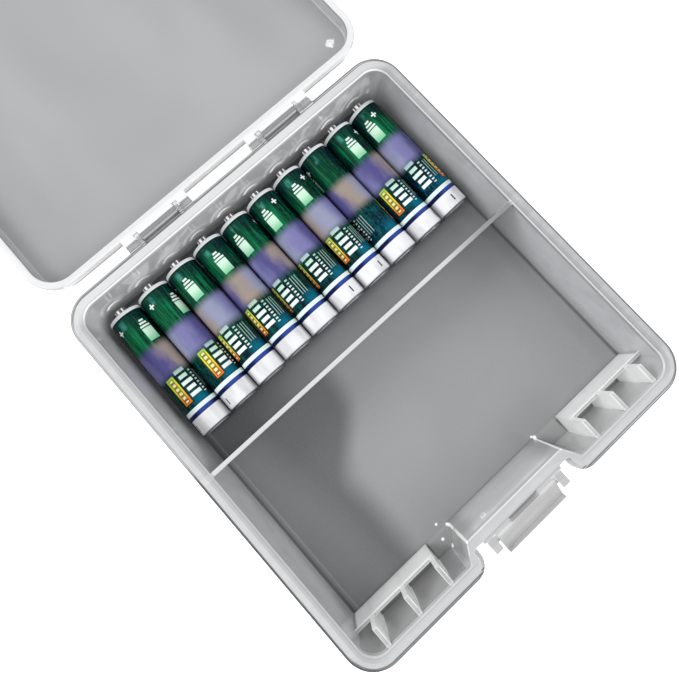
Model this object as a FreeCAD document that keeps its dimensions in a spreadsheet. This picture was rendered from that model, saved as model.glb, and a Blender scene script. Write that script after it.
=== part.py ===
"""Hinged battery storage case: a shallow drawer-like tray with a divider, a hinged lid, a front
snap latch and ten AAA cells lying side by side in the rear compartment.

Millimetres. +Z is up, X runs along the hinge, +Y points to the hinge side and -Y to the latch.
The origin is the centre of the tray's underside. The lid is drawn lying open, flat behind the
tray, and the latch is drawn swung outward.
"""
import FreeCAD, Part
import math
import os
import Sketcher
from FreeCAD import Placement, Rotation, Vector

doc = FreeCAD.newDocument("battery_case")

# ---------------------------------------------------------------- driving dimensions
sheet = doc.addObject("Spreadsheet::Sheet", "dims")
DIMS = [
    # tray
    ("rim_half_x", 59.6), ("rim_half_y", 63.35), ("rim_corner", 8.2), ("rim_width", 3.2),
    ("ledge_out", 1.0), ("ledge_top", 18.8), ("ledge_low", 17.2), ("tray_high", 20.0),
    ("floor_thick", 1.5), ("wall_thick", 1.35), ("draft_in", 0.74), ("rim_corner_in", 6.0),
    # front recess of tray and lid
    ("recess_half_x", 18.0), ("recess_y", 57.95), ("recess_corner", 3.8),
    ("boss_half_x", 20.7), ("boss_in_x", 17.5), ("boss_side", 0.75), ("boss_y", 54.87),
    ("boss_corner", 0.8),
    # divider and front pockets
    ("divider_y", 2.9), ("divider_thick", 1.3), ("plate_y", 53.7), ("plate_thick", 1.2),
    ("plate_high", 12.1), ("rib_thick", 1.34), ("rib_one", 27.83), ("rib_two", 38.93),
    ("rib_three", 50.12), ("rib_reach", 54.1),
    # small square moulding ring on the inside of the boss
    ("ring_x", 9.6), ("ring_z", 15.4), ("ring_half", 0.85), ("ring_bore", 0.5),
    # hinge
    ("hinge_y", 66.2), ("hinge_z", 20.1), ("hinge_rod", 0.85), ("hinge_bore", 0.92),
    ("hook_radius", 1.58), ("eye_radius", 1.05), ("eye_thick", 1.1), ("ear_in", 11.4),
    ("ear_width_in", 4.8), ("ear_out", 34.3), ("ear_width_out", 5.2), ("ear_top", 19.6),
    ("hinge_gap", 0.3), ("soft_edge", 0.4), ("soft_rib", 0.3), ("foot_round", 1.0), ("floor_round", 0.5),
    # lid, drawn open
    ("lid_half_x", 60.6), ("lid_near", 68.25), ("lid_far", 196.55), ("lid_corner", 10.0),
    ("lid_rim", 2.3), ("lid_wall", 1.3), ("lid_top", 20.0), ("lid_low", 13.6),
    ("lid_panel", 1.3), ("lid_flange", 2.0), ("catch_y", 59.0), ("catch_top", 22.0),
    # latch
    ("latch_y", 60.7), ("latch_z", 17.5), ("latch_half_x", 10.7), ("latch_pin", 0.90),
    ("latch_bore", 0.95), ("latch_barrel", 1.35), ("latch_plate", 1.5), ("latch_inner", 1.2),
    ("latch_long", 6.2), ("latch_swing", 125.0), ("bead_low", 4.75), ("bead_high", 5.7),
    ("bead_out", 1.15), ("lug_in", 11.45), ("lug_out", 13.9), ("lug_y", 63.0),
    ("lug_low", 15.6), ("lug_top", 19.2), ("block_y", 58.95), ("block_in", 5.2),
    ("block_slot_y", 58.6), ("block_low", 12.0),
    # cells
    ("cell_pitch", 10.71), ("cell_shift", -0.7), ("cell_radius", 5.2), ("cell_y", 12.8),
    ("cell_z", 6.85), ("cell_barrel", 43.2), ("cell_total", 45.3), ("label_thick", 0.12),
    ("can_thick", 0.25), ("nub_radius", 1.9),
]
for row, (alias, value) in enumerate(DIMS, 1):
    sheet.set("A%d" % row, alias)
    sheet.set("B%d" % row, "%g" % value)
    sheet.setAlias("B%d" % row, alias)
doc.recompute()
V = dict(DIMS)


def value(expr):
    """Number behind an expression written in the sheet's aliases."""
    out = expr
    for name in sorted(V, key=len, reverse=True):
        out = out.replace("dims." + name, "(%r)" % V[name])
    return float(FreeCAD.Units.Quantity(out).Value)


# ---------------------------------------------------------------- sketch and body helpers
def role(body, name):
    return [f for f in body.Origin.OriginFeatures if f.Role == name][0]


def new_body(name):
    body = doc.addObject("PartDesign::Body", name)
    body.Label = name
    return body


def sketch_on(body, plane, name, offset=None):
    sk = body.newObject("Sketcher::SketchObject", name)
    sk.AttachmentSupport = (role(body, plane), [""])
    sk.MapMode = "FlatFace"
    if offset is not None:
        sk.AttachmentOffset = Placement(Vector(0, 0, value(offset)), Rotation())
        sk.setExpression("AttachmentOffset.Base.z", offset)
    return sk


def polygon(sk, points):
    """Closed polygon of (x expression, y expression) corners. Every corner coordinate is held
    by a named dimension from the origin, bound to the sheet."""
    xy = [(value(a), value(b)) for a, b in points]
    n = len(xy)
    for i in range(n):
        p, q = xy[i], xy[(i + 1) % n]
        sk.addGeometry(Part.LineSegment(Vector(p[0], p[1], 0), Vector(q[0], q[1], 0)), False)
    for i in range(n):
        sk.addConstraint(Sketcher.Constraint("Coincident", i, 2, (i + 1) % n, 1))
    for i, (a, b) in enumerate(points):
        for kind, expr, v in (("DistanceX", a, xy[i][0]), ("DistanceY", b, xy[i][1])):
            if abs(v) < 1e-9:
                sk.addConstraint(Sketcher.Constraint(
                    "PointOnObject", i, 1, -2 if kind == "DistanceX" else -1))
                continue
            if v > 0:
                k = sk.addConstraint(Sketcher.Constraint(kind, -1, 1, i, 1, v))
            else:
                k = sk.addConstraint(Sketcher.Constraint(kind, i, 1, -1, 1, -v))
                expr = "-(" + expr + ")"
            tag = "c%d%s" % (i, kind[-1].lower())
            sk.renameConstraint(k, tag)
            sk.setExpression("Constraints." + tag, expr)
    return sk


def rectangle(sk, x0, x1, y0, y1):
    return polygon(sk, [(x0, y0), (x1, y0), (x1, y1), (x0, y1)])


def pad(body, sk, length, taper=0.0, name="Pad"):
    f = body.newObject("PartDesign::Pad", name)
    f.Profile = sk
    f.Length = value(length)
    f.setExpression("Length", length)
    if taper:
        f.TaperAngle = taper
    return f


def fillet_edges(body, base, radius, pick, name="Fillet"):
    doc.recompute()
    edges = ["Edge%d" % (i + 1) for i, e in enumerate(base.Shape.Edges) if pick(e)]
    f = body.newObject("PartDesign::Fillet", name)
    f.Base = (base, edges)
    f.Radius = value(radius)
    f.setExpression("Radius", radius)
    return f


def level(z, tol=1e-3):
    """Edge that lies flat at height z."""
    return lambda e: abs(e.BoundBox.ZMin - z) < tol and abs(e.BoundBox.ZMax - z) < tol


def upright(x, y, tol=1.2):
    """Edge that runs in Z at |x|, y."""
    def pick(e):
        if len(e.Vertexes) != 2:
            return False
        a, b = e.Vertexes[0].Point, e.Vertexes[1].Point
        return (abs(a.z - b.z) > 1e-3 and abs(abs(a.x) - x) < tol and abs(abs(b.x) - x) < tol
                and abs(a.y - y) < tol and abs(b.y - y) < tol)
    return pick


def notched_prism(name, z0, high, hx, yb, yf, corner, nx, ny, ncorner, inner, taper=0.0,
                  foot=None, deep=None):
    """Rounded rectangle with a notch in its front edge, padded upward from z0. hx is half the
    width, yb and yf the back and front edges, nx half the notch's width, ny its end. foot
    rounds the edge at the bottom. deep is half the notch's width at its end, if it narrows."""
    deep = deep or nx
    body = new_body(name)
    sk = sketch_on(body, "XY_Plane", name + "_outline", z0)
    polygon(sk, [("-(%s)" % hx, yf), ("-(%s)" % nx, yf), ("-(%s)" % deep, ny), (deep, ny),
                 (nx, yf), (hx, yf), (hx, yb), ("-(%s)" % hx, yb)])
    p = pad(body, sk, high, taper, name + "_pad")
    grow = value(high) * math.tan(math.radians(taper)) if taper else 0.0
    tol = 0.3 + abs(grow)
    f = fillet_edges(body, p, corner, lambda e: upright(value(hx), value(yb), tol)(e)
                     or upright(value(hx), value(yf), tol)(e), name + "_corners")
    if ncorner:
        f = fillet_edges(body, f, ncorner, upright(value(nx), value(yf), tol), name + "_mouth")
    if inner:
        f = fillet_edges(body, f, inner, upright(value(deep), value(ny), tol), name + "_notch")
    if foot:
        f = fillet_edges(body, f, foot, level(value(z0)), name + "_foot")
    body.Tip = f
    return body


def box(name, x0, x1, y0, y1, z0, z1):
    """Part::Box from corner expressions."""
    b = doc.addObject("Part::Box", name)
    b.Label = name
    for prop, expr in (("Length", "(%s)-(%s)" % (x1, x0)), ("Width", "(%s)-(%s)" % (y1, y0)),
                       ("Height", "(%s)-(%s)" % (z1, z0))):
        setattr(b, prop, value(expr))
        b.setExpression(prop, expr)
    b.Placement = Placement(Vector(value(x0), value(y0), value(z0)), Rotation())
    for axis, expr in (("x", x0), ("y", y0), ("z", z0)):
        b.setExpression("Placement.Base." + axis, expr)
    return b


def rod(name, x0, x1, y, z, radius):
    """Part::Cylinder along X."""
    c = doc.addObject("Part::Cylinder", name)
    c.Label = name
    c.Radius = value(radius)
    c.setExpression("Radius", radius)
    length = "(%s)-(%s)" % (x1, x0)
    c.Height = value(length)
    c.setExpression("Height", length)
    c.Placement = Placement(Vector(value(x0), value(y), value(z)), Rotation(Vector(0, 1, 0), 90))
    for axis, expr in (("x", x0), ("y", y), ("z", z)):
        c.setExpression("Placement.Base." + axis, expr)
    return c


def fuse(name, shapes):
    f = doc.addObject("Part::MultiFuse", name)
    f.Label = name
    f.Shapes = shapes
    f.Refine = True
    return f


def cut(name, base, tool):
    f = doc.addObject("Part::Cut", name)
    f.Label = name
    f.Base = base
    f.Tool = tool
    f.Refine = True
    return f


def edge_fillet(name, base, picks):
    """Part::Fillet with (radius alias, edge test) pairs."""
    doc.recompute()
    rows = []
    for radius, pick in picks:
        for i, e in enumerate(base.Shape.Edges):
            if pick(e):
                rows.append((i + 1, radius, radius))
    f = doc.addObject("Part::Fillet", name)
    f.Label = name
    f.Base = base
    f.Edges = rows
    return f


def along_x(e):
    b = e.BoundBox
    return b.XLength > 0.5 and b.YLength < 1e-6 and b.ZLength < 1e-6


def soft_top(name, base, radius, ends=False):
    """Rounds the long top edges of a box, and its end edges if asked."""
    doc.recompute()
    bb = base.Shape.BoundBox
    longest = max(bb.XLength, bb.YLength)

    def pick(e):
        if not level(bb.ZMax)(e):
            return False
        size = max(e.BoundBox.XLength, e.BoundBox.YLength)
        return ends or abs(size - longest) < 1e-3
    return edge_fillet(name, base, [(radius, pick)])


# ---------------------------------------------------------------- tray
wall = "dims.wall_thick"
inner_x = "dims.rim_half_x-dims.rim_width"
inner_y = "dims.rim_half_y-dims.rim_width"
taper_deg = math.degrees(math.atan(V["draft_in"] / (V["tray_high"] - V["floor_thick"])))

tray_wall = notched_prism(
    "tray_wall_solid", "0", "dims.tray_high",
    inner_x + "+" + wall, inner_y + "+" + wall, "-(" + inner_y + "+" + wall + ")",
    "dims.rim_corner_in+dims.wall_thick", "dims.boss_half_x-dims.boss_side",
    "-(dims.boss_y+dims.wall_thick)", "dims.wall_thick+0.6", "1.0", 0.0, "dims.foot_round",
    "dims.boss_in_x-dims.boss_side")
tray_rim = notched_prism(
    "tray_rim_solid", "dims.ledge_low", "dims.tray_high-dims.ledge_low",
    "dims.rim_half_x", "dims.rim_half_y", "-dims.rim_half_y", "dims.rim_corner",
    "dims.recess_half_x", "-dims.recess_y", "dims.recess_corner", "0.9")
tray_ledge = notched_prism(
    "tray_ledge_solid", "dims.ledge_low", "dims.ledge_top-dims.ledge_low",
    "dims.rim_half_x+dims.ledge_out", "dims.rim_half_y+dims.ledge_out",
    "-(dims.rim_half_y+dims.ledge_out)", "dims.rim_corner+dims.ledge_out",
    "dims.recess_half_x-dims.ledge_out", "-dims.recess_y",
    "dims.recess_corner+dims.ledge_out", None)
tray_cavity = notched_prism(
    "tray_cavity_solid", "dims.floor_thick", "dims.tray_high-dims.floor_thick",
    inner_x + "-dims.draft_in", inner_y + "-dims.draft_in",
    "-(" + inner_y + "-dims.draft_in)", "dims.rim_corner_in-dims.draft_in",
    "dims.boss_half_x+dims.draft_in", "-(dims.boss_y-dims.draft_in)",
    "1.0", "dims.boss_corner", taper_deg, "dims.floor_round", "dims.boss_in_x+dims.draft_in")

divider = box("divider_block", "-(" + inner_x + "+0.5)", inner_x + "+0.5",
              "dims.divider_y-dims.divider_thick/2", "dims.divider_y+dims.divider_thick/2",
              "dims.floor_thick-0.2", "dims.tray_high-0.1")
divider = soft_top("divider_wall", divider, V["soft_rib"])
pieces = []
for side, tag in ((-1, "left"), (1, "right")):
    if side < 0:
        x0, x1 = "-(" + inner_x + "+0.5)", "-(dims.rib_one-dims.rib_thick/2)"
    else:
        x0, x1 = "dims.rib_one-dims.rib_thick/2", inner_x + "+0.5"
    pieces.append(soft_top("pocket_plate_" + tag, box(
        "plate_block_" + tag, x0, x1, "-(dims.plate_y+dims.plate_thick)", "-dims.plate_y",
        "dims.floor_thick-0.2", "dims.plate_high"), V["soft_rib"]))
    for n, alias in enumerate(("rib_one", "rib_two", "rib_three"), 1):
        mid = ("-" if side < 0 else "") + "dims." + alias
        pieces.append(soft_top("pocket_rib_%s_%d" % (tag, n), box(
            "rib_block_%s_%d" % (tag, n), mid + "-dims.rib_thick/2",
            mid + "+dims.rib_thick/2", "-(" + inner_y + "+0.5)", "-dims.rib_reach",
            "dims.floor_thick-0.2", "dims.tray_high-0.3"), V["soft_rib"], True))

# latch block and lugs on the recess wall
for side, tag in ((-1, "left"), (1, "right")):
    if side < 0:
        bx0, bx1 = "-(dims.lug_out+0.6)", "-dims.block_in"
        lx0, lx1 = "-dims.lug_out", "-dims.lug_in"
    else:
        bx0, bx1 = "dims.block_in", "dims.lug_out+0.6"
        lx0, lx1 = "dims.lug_in", "dims.lug_out"
    pieces.append(box("latch_block_" + tag, bx0, bx1, "-dims.block_y",
                      "-(dims.boss_y+dims.wall_thick-0.3)", "dims.block_low", "dims.lug_top"))
    pieces.append(box("latch_lug_" + tag, lx0, lx1, "-dims.lug_y",
                      "-dims.recess_y", "dims.lug_low", "dims.lug_top"))

pieces.append(box("latch_block_middle", "-(dims.block_in+0.1)", "dims.block_in+0.1",
                  "-dims.block_slot_y", "-(dims.boss_y+dims.wall_thick-0.3)", "dims.block_low",
                  "dims.lug_top"))

# small square moulding ring on the inside of the boss
pieces.append(cut("boss_ring", box(
    "boss_ring_block", "-(dims.ring_x+dims.ring_half)", "-(dims.ring_x-dims.ring_half)",
    "-(dims.boss_y+0.3)", "-(dims.boss_y-0.36)", "dims.ring_z-dims.ring_half",
    "dims.ring_z+dims.ring_half"), box(
    "boss_ring_hollow", "-(dims.ring_x+dims.ring_bore)", "-(dims.ring_x-dims.ring_bore)",
    "-(dims.boss_y+0.15)", "-(dims.boss_y-1)", "dims.ring_z-dims.ring_bore",
    "dims.ring_z+dims.ring_bore")))

# wide hinge ears with a cheek on each inner side and a rod between them, twice
for side, tag in ((-1, "left"), (1, "right")):
    def span(a, b):
        return (a, b) if side > 0 else ("-(" + b + ")", "-(" + a + ")")

    inner_end = "dims.ear_in+dims.ear_width_in"
    outer_end = "dims.ear_out-dims.ear_width_out"
    for n, (a, b, c, d) in enumerate((
            ("dims.ear_in", inner_end, inner_end + "-dims.eye_thick", inner_end),
            (outer_end, "dims.ear_out", outer_end, outer_end + "+dims.eye_thick")), 1):
        pieces.append(edge_fillet("hinge_ear_%s_%d" % (tag, n), box(
            "hinge_ear_block_%s_%d" % (tag, n), *span(a, b), "dims.rim_half_y-0.5",
            "dims.hinge_y-0.2", "dims.ledge_low", "dims.ear_top"),
            [(0.35, lambda e: along_x(e) and e.BoundBox.YMin > V["hinge_y"] - 0.3
              and e.BoundBox.ZMin > V["ear_top"] - 0.1)]))
        # cheek that holds the rod: an upright web with a round head
        pieces.append(rod("hinge_eye_%s_%d" % (tag, n), *span(c, d), "dims.hinge_y",
                          "dims.hinge_z", "dims.eye_radius"))
        pieces.append(box("hinge_cheek_%s_%d" % (tag, n), *span(c, d), "dims.rim_half_y-0.4",
                          "dims.hinge_y+dims.eye_radius-0.15", "dims.ledge_low",
                          "dims.hinge_z"))
    pieces.append(rod("hinge_rod_" + tag, *span(inner_end + "-0.5", outer_end + "+0.5"),
                      "dims.hinge_y", "dims.hinge_z", "dims.hinge_rod"))
    # thin shelf that joins the ears below the rod
    pieces.append(box("hinge_shelf_" + tag, *span(inner_end + "-0.4", outer_end + "+0.4"),
                      "dims.rim_half_y-0.5", "dims.hinge_y-0.35", "dims.ledge_low",
                      "dims.ledge_low+1.0"))

tray_sharp = cut("tray_sharp", fuse("tray_outside", [tray_wall, tray_rim, tray_ledge]),
                 tray_cavity)
tray_shell = edge_fillet("tray_shell", tray_sharp,
                         [(V["soft_edge"], level(V["tray_high"]))])
lug_bores = rod("lug_bores", "-(dims.lug_out+1)", "dims.lug_out+1", "-dims.latch_y",
                "dims.latch_z", "dims.latch_bore")
tray_solid = fuse("tray_solid", [tray_shell, divider] + pieces)
tray_bored = cut("tray_bored", tray_solid, lug_bores)


base_tray = tray_bored
base_tray.Label = "base_tray"

# ---------------------------------------------------------------- lid, lying open
lid_mid = "(dims.lid_far+dims.lid_near)/2"


def lid_prism(name, z0, high, inset, corner, nx, ny, ncorner, inner, foot=None):
    """As notched_prism, with the notch in the far edge."""
    body = new_body(name)
    sk = sketch_on(body, "XY_Plane", name + "_outline", z0)
    hx = "dims.lid_half_x-(%s)" % inset
    near = "dims.lid_near+(%s)" % inset
    far = "dims.lid_far-(%s)" % inset
    polygon(sk, [("-(%s)" % hx, near), (hx, near), (hx, far), (nx, far), (nx, ny),
                 ("-(%s)" % nx, ny), ("-(%s)" % nx, far), ("-(%s)" % hx, far)])
    p = pad(body, sk, high, 0.0, name + "_pad")
    f = fillet_edges(body, p, corner, lambda e: upright(value(hx), value(near), 0.3)(e)
                     or upright(value(hx), value(far), 0.3)(e), name + "_corners")
    f = fillet_edges(body, f, ncorner, upright(value(nx), value(far), 0.3), name + "_mouth")
    if inner:
        f = fillet_edges(body, f, inner, upright(value(nx), value(ny), 0.3), name + "_notch")
    if foot:
        f = fillet_edges(body, f, foot, level(value(z0)), name + "_foot")
    body.Tip = f
    return body


# the recess of the lid lies over the tray's recess when the lid is shut
recess_end = "2*dims.hinge_y+dims.recess_y"
lid_flange = lid_prism("lid_flange_solid", "dims.lid_top-dims.lid_flange", "dims.lid_flange", "0",
                       "dims.lid_corner", "dims.recess_half_x-dims.ledge_out",
                       recess_end,
                       "dims.recess_corner+dims.ledge_out", "0.9")
lid_shell_out = lid_prism("lid_wall_solid", "dims.lid_low", "dims.lid_top-dims.lid_low",
                          "dims.lid_rim-dims.lid_wall", "dims.lid_corner-1.0",
                          "dims.recess_half_x-dims.ledge_out+1.0", recess_end + "-1.0",
                          "dims.recess_corner-0.2", "1.2", "dims.foot_round")
lid_hollow = lid_prism("lid_cavity_solid", "dims.lid_low+dims.lid_panel",
                       "dims.lid_top-dims.lid_low-dims.lid_panel+1", "dims.lid_rim",
                       "dims.lid_corner-dims.lid_rim",
                       "dims.recess_half_x-dims.ledge_out+2.3", recess_end + "-2.3",
                       "1.2", "2.4", "dims.floor_round")
lid_pieces = []
lid_cuts = [lid_hollow]
tab_low, tab_top = "dims.lid_top-dims.lid_flange", "dims.lid_top"
for side, tag in ((-1, "left"), (1, "right")):
    def span(a, b):
        return (a, b) if side > 0 else ("-(" + b + ")", "-(" + a + ")")

    eye_in = "dims.ear_in+dims.ear_width_in-dims.eye_thick-dims.hinge_gap"
    eye_out = "dims.ear_out-dims.ear_width_out+dims.eye_thick+dims.hinge_gap"
    hook = span("dims.ear_in+dims.ear_width_in+dims.hinge_gap",
                "dims.ear_out-dims.ear_width_out-dims.hinge_gap")
    # flange tabs beyond the ears, stepped back behind the cheeks
    for n, (a, b) in enumerate((("dims.ear_in", eye_in), (eye_out, "dims.ear_out")), 1):
        lid_pieces.append(box("lid_tab_%s_%d" % (tag, n), *span(a, b), "dims.hinge_y+0.1",
                              "dims.lid_near+1.2", tab_low, tab_top))
    lid_pieces.append(box("lid_tab_%s_back" % tag, *span("dims.ear_in", "dims.ear_out"),
                          "dims.hinge_y+dims.eye_radius+0.35", "dims.lid_near+1.2", tab_low,
                          tab_top))
    # hook that clips round the rod, and the web that carries it
    lid_pieces.append(rod("lid_hook_" + tag, hook[0], hook[1], "dims.hinge_y",
                          "dims.hinge_z", "dims.hook_radius"))
    lid_pieces.append(box("lid_web_" + tag, hook[0], hook[1], "dims.hinge_y",
                          "dims.lid_near+1.2", tab_low, tab_top))
    bore = (hook[0] + "-0.5", hook[1] + "+0.5")
    lid_cuts.append(rod("lid_bore_" + tag, bore[0], bore[1], "dims.hinge_y", "dims.hinge_z",
                        "dims.hinge_bore"))
    # mouth of the hook: the quarter over its front is open, narrower than the rod
    lid_cuts.append(box("lid_mouth_" + tag, bore[0], bore[1], "dims.hinge_y-3",
                        "dims.hinge_y", "dims.hinge_z", "dims.hinge_z+3"))
# ledge that the latch bead hooks over when the lid is shut
lid_pieces.append(soft_top("lid_catch", box(
    "lid_catch_block", "-(dims.latch_half_x-1)", "dims.latch_half_x-1", recess_end + "-1.2",
    "2*dims.hinge_y+dims.catch_y", "2*dims.hinge_z-dims.catch_top", "dims.lid_top-0.3"),
    V["soft_rib"]))
lid_sharp = cut("lid_sharp", fuse("lid_body", [lid_flange, lid_shell_out]), lid_hollow)
lid_shell = edge_fillet("lid_shell", lid_sharp, [(V["soft_edge"], level(V["lid_top"]))])
lid = cut("lid", fuse("lid_outside", [lid_shell] + lid_pieces),
          fuse("lid_hollows", lid_cuts))
lid.Label = "lid"

# ---------------------------------------------------------------- latch, swung outward
# Drawn in its own frame: the pivot is the origin, w runs along the plate from the pivot to its
# free end when the latch is upright, and v points towards the case.
latch_body = new_body("latch_solid")
lsk = sketch_on(latch_body, "YZ_Plane", "latch_profile")
polygon(lsk, [("dims.latch_inner-dims.latch_plate", "-0.2"), ("dims.latch_inner", "-0.2"),
              ("dims.latch_inner", "dims.bead_low"),
              ("dims.latch_inner+dims.bead_out", "dims.bead_low"),
              ("dims.latch_inner+dims.bead_out", "dims.bead_low+0.35"),
              ("dims.latch_inner+0.15", "dims.bead_high"),
              ("dims.latch_inner", "dims.latch_long"),
              ("dims.latch_inner-dims.latch_plate-0.9", "dims.latch_long"),
              ("dims.latch_inner-dims.latch_plate-0.9", "dims.latch_long-0.7"),
              ("dims.latch_inner-dims.latch_plate", "dims.latch_long-1.6")])
lpad = pad(latch_body, lsk, "2*dims.latch_half_x", 0.0, "latch_pad")
lpad.Midplane = True
latch_body.Tip = lpad
swing = Placement(Vector(0, -V["latch_y"], V["latch_z"]), Rotation(Vector(1, 0, 0), V["latch_swing"]))
latch_body.Placement = swing
for axis, expr in (("y", "-dims.latch_y"), ("z", "dims.latch_z")):
    latch_body.setExpression("Placement.Base." + axis, expr)
latch_body.setExpression("Placement.Rotation.Angle", "dims.latch_swing")
barrel = rod("latch_barrel_rod", "-dims.latch_half_x", "dims.latch_half_x", "-dims.latch_y",
             "dims.latch_z", "dims.latch_barrel")
pins = rod("latch_pin_rod", "-(dims.lug_out-0.2)", "dims.lug_out-0.2", "-dims.latch_y",
           "dims.latch_z", "dims.latch_pin")
latch = fuse("latch", [latch_body, barrel, pins])
latch.Label = "latch"

# ---------------------------------------------------------------- cells
R, T, K = "dims.cell_radius", "dims.label_thick", "dims.can_thick"
END, TIP = "dims.cell_barrel", "dims.cell_total"
can_r = R + "-" + T + "-0.01"
PROFILES = {
    # printed sleeve, shrunk over both shoulders
    "label": [("4.42", "0.45"), (R + "-0.45", "0.45"), (R + "-0.12", "0.62"), (R, "0.95"),
              (R, END + "-0.5"), (R + "-0.12", END + "-0.17"), (R + "-0.45", END),
              (R + "-0.75", END), (R + "-0.75", END + "-" + T),
              (R + "-0.45-" + T + "/2", END + "-" + T),
              (R + "-0.12-" + T, END + "-0.17-" + T), (R + "-" + T, END + "-0.5-" + T + "/2"),
              (R + "-" + T, "0.95+" + T + "/2"), (R + "-0.12-" + T, "0.62+" + T),
              (R + "-0.45-" + T + "/2", "0.45+" + T), ("4.42", "0.45+" + T)],
    # drawn steel can with the positive nub
    "can": [("4.42", "0.60"), (R + "-0.62", "0.60"), (R + "-0.26", "0.80"), (can_r, "1.06"),
            (can_r, END + "-0.6"), (R + "-0.26", END + "-0.33"), (R + "-0.62", END + "-0.14"),
            ("3.3", END + "-0.14"), ("3.0", END + "+0.08"),
            ("2.2", END + "+0.08"), ("dims.nub_radius", END + "+0.25"),
            ("dims.nub_radius", TIP + "-0.25"), ("dims.nub_radius-0.07", TIP + "-0.07"),
            ("dims.nub_radius-0.25", TIP), ("0", TIP),
            ("0", TIP + "-" + K), ("dims.nub_radius-0.32", TIP + "-" + K),
            ("dims.nub_radius-0.32", END + "+0.02"), ("2.1", END + "-0.17"),
            ("2.9", END + "-0.17"), ("3.15", END + "-0.39"),
            (can_r + "-" + K + "-0.4", END + "-0.39"), (can_r + "-" + K, END + "-0.8"),
            (can_r + "-" + K, "1.15"), (R + "-0.8", "0.85"), ("4.42", "0.85")],
    # filling: cathode, separator and anode in one column
    "core": [("0", "2.4"), (can_r + "-" + K + "-0.02", "2.4"),
             (can_r + "-" + K + "-0.02", END + "-0.85"), (can_r + "-" + K + "-0.42", END + "-0.45"),
             ("0", END + "-0.45")],
    # nylon seal between can and end plate
    "seal": [("4.12", "0.22"), ("4.38", "0.22"), ("4.38", "0.90"), ("4.70", "1.20"),
             ("4.70", "1.60"), ("4.12", "1.60")],
    # negative end plate
    "end_plate": [("0", "0"), ("3.75", "0"), ("4.0", "0.07"), ("4.08", "0.25"),
                  ("4.08", "1.64"), ("4.62", "1.64"), ("4.62", "1.90"), ("3.82", "1.90"),
                  ("3.82", "0.36"), ("3.70", "0.27"), ("0", "0.27")],
}
# each loose cell lies at its own place along the compartment
SHIFT_Y = [-0.65, -0.5, -0.45, -0.25, -0.3, -0.15, -0.2, -0.1, -0.15, -0.05]


def cell_piece(number, kind):
    name = "cell_%02d_%s" % (number, kind)
    body = new_body(name)
    sk = sketch_on(body, "XZ_Plane", name + "_section")
    polygon(sk, PROFILES[kind])
    rev = body.newObject("PartDesign::Revolution", name + "_turned")
    rev.Profile = sk
    rev.ReferenceAxis = (sk, ["V_Axis"])
    rev.Angle = 360.0
    body.Tip = rev
    body.Placement = Placement(Vector(0, 0, 0), Rotation(Vector(1, 0, 0), -90))
    body.setExpression("Placement.Base.x",
                       "dims.cell_shift+dims.cell_pitch*(%g)" % (number - 1 - 4.5))
    body.setExpression("Placement.Base.y", "dims.cell_y+(%g)" % SHIFT_Y[number - 1])
    body.setExpression("Placement.Base.z", "dims.cell_z")
    return body


cells = [cell_piece(n, kind) for n in range(1, 11) for kind in PROFILES]

# ---------------------------------------------------------------- check and write
doc.recompute()
for obj in doc.Objects:
    for state in obj.State:
        if "Invalid" in state or "Error" in state:
            raise RuntimeError("%s: %s" % (obj.Name, obj.State))
NODES = [base_tray, lid, latch] + cells
os.makedirs("parts", exist_ok=True)
for obj in NODES:
    shape = obj.Shape
    if shape.isNull() or not shape.isValid() or not shape.Solids:
        raise RuntimeError(obj.Label + " has no valid solid")
    shape.exportStep("parts/%s.step" % obj.Label)
    if not obj.Label.startswith("cell_") or obj.Label.startswith("cell_01"):
        b = shape.BoundBox
        print("%-18s solids %d volume %.1f  x %.2f..%.2f y %.2f..%.2f z %.2f..%.2f" % (
            obj.Label, len(shape.Solids), shape.Volume, b.XMin, b.XMax, b.YMin, b.YMax,
            b.ZMin, b.ZMax))
print(len(NODES), "nodes")
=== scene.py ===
import math

import bpy
from mathutils import Matrix, Vector

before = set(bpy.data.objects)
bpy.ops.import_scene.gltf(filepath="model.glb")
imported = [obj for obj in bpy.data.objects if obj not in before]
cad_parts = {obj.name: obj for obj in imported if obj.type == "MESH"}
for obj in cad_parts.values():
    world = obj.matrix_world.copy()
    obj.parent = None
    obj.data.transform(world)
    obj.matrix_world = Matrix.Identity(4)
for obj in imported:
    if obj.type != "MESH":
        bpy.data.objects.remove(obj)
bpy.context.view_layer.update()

MM = 0.001
scene = bpy.context.scene


# ------------------------------------------------------------------ camera
F_PX, PP_X, PP_Y, WIDE, HIGH = 578.174, 326.525, 286.799, 679.0, 674.0
EYE = Vector((-17.492, 3.823, 179.939)) * MM
ROWS = ((0.74197970, -0.67026735, 0.01441540),
        (-0.66125806, -0.73521114, -0.14900460),
        (0.11047128, 0.10102609, -0.98873142))
cam_data = bpy.data.cameras.new("camera")
cam_data.sensor_fit = "HORIZONTAL"
cam_data.sensor_width = 36.0
cam_data.lens = F_PX / WIDE * 36.0
cam_data.shift_x = (WIDE / 2 - PP_X) / WIDE
cam_data.shift_y = (PP_Y - HIGH / 2) / WIDE
cam_data.clip_start = 0.005
cam_data.clip_end = 20.0
cam = bpy.data.objects.new("camera", cam_data)
scene.collection.objects.link(cam)
right, down, ahead = (Vector(r) for r in ROWS)
cam.matrix_world = Matrix((
    (right.x, -down.x, -ahead.x, EYE.x),
    (right.y, -down.y, -ahead.y, EYE.y),
    (right.z, -down.z, -ahead.z, EYE.z),
    (0, 0, 0, 1)))
scene.camera = cam


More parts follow.
